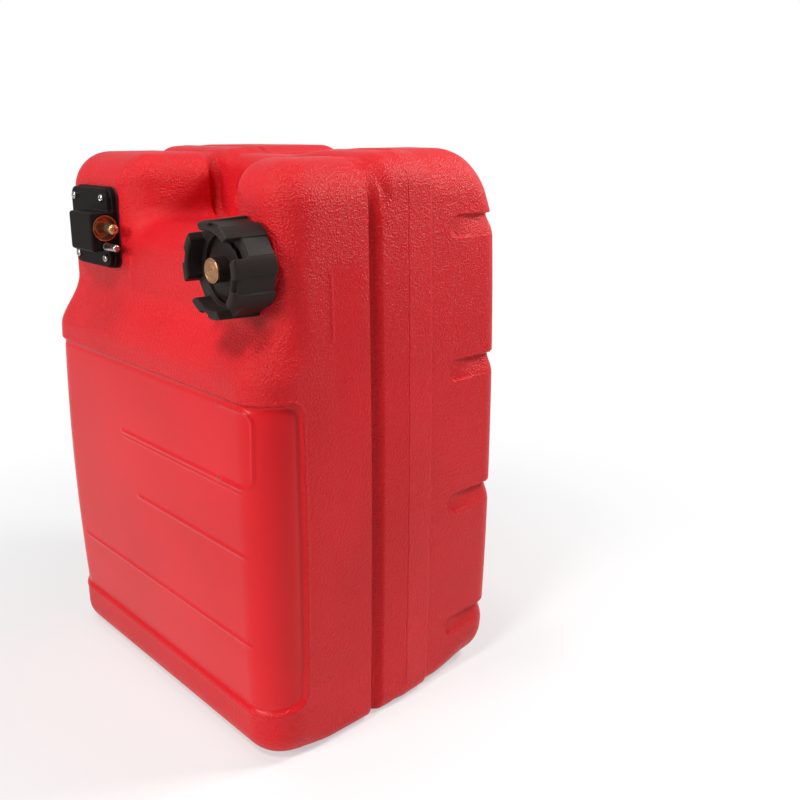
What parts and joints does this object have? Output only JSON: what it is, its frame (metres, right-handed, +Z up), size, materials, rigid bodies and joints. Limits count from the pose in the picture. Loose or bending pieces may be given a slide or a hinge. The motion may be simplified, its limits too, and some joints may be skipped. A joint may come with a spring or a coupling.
{
  "type": "outboard fuel tank",
  "caption": "Portable blow-moulded outboard fuel tank standing on its end, with a vented screw cap, a quick-connect fuel outlet with pick-up tube, and a carry bar.",
  "frame": {"origin": "middle of the flat end that the tank stands on", "axes": "+Z up, from the standing end to the carry bar; -Y is the face with the cap and connector, which faces up in use; +X runs from the connector to the cap"},
  "size_m": [0.36, 0.275, 0.484],
  "materials": {
    "red_polyethylene": "blow-moulded, fine leathery grain with smooth satin panels",
    "black_plastic": "injection-moulded, satin",
    "black_nylon": "moulded glass-filled nylon, satin",
    "black_rubber": "moulded nitrile",
    "brass": "turned",
    "steel": "bright zinc plate",
    "steel_gauze": "woven gauze",
    "pale_polyethylene": "natural polyethylene"
  },
  "bodies": {
    "tank": {"tank_shell": "red_polyethylene", "outlet_gasket": "black_rubber", "connector_housing": "black_nylon", "housing_screws": "steel", "insert_nuts": "brass", "nipple_cup": "brass", "fuel_nipple": "brass", "nipple_oring": "black_rubber", "check_spring": "steel", "spring_seat": "brass", "guide_pin": "steel", "pickup_barb": "brass", "pickup_tube": "pale_polyethylene", "tube_clamp": "steel", "strainer_frame": "pale_polyethylene", "strainer_mesh": "steel_gauze"},
    "cap_lifter": {"cap_gasket": "black_rubber"},
    "cap": {"cap_shell": "black_plastic", "vent_bushing": "brass"},
    "vent_lifter": {"vent_oring": "black_rubber"},
    "vent": {"vent_screw": "brass", "vent_grip": "black_plastic", "vent_retainer": "steel"},
    "plunger": {"check_plunger": "brass"}
  },
  "joints": [
    {"name": "cap_lift", "type": "slide", "parent": "tank", "child": "cap_lifter", "axis": [0, -1, 0], "range_m": [0, 0.006]},
    {"name": "cap_turn", "type": "hinge", "parent": "cap_lifter", "child": "cap", "pos_m": [0.136, -0.107, 0.402], "axis": [0, -1, 0], "range_deg": [0, 540]},
    {"name": "vent_lift", "type": "slide", "parent": "cap", "child": "vent_lifter", "axis": [0, -1, 0], "range_m": [0, 0.00125]},
    {"name": "vent_turn", "type": "hinge", "parent": "vent_lifter", "child": "vent", "pos_m": [0.136, -0.107, 0.402], "axis": [0, -1, 0], "range_deg": [0, 360]},
    {"name": "check_push", "type": "slide", "parent": "tank", "child": "plunger", "axis": [-1, 0, 0], "range_m": [0, 0.002], "stiffness_N_per_m": 600, "springref_m": -0.001, "deforming": ["check_spring"]}
  ],
  "couplings": [
    {"joint": "cap_lift", "follows": "cap_turn", "m_per_rad": 0.00063662},
    {"joint": "vent_lift", "follows": "vent_turn", "m_per_rad": 0.00019894}
  ]
}
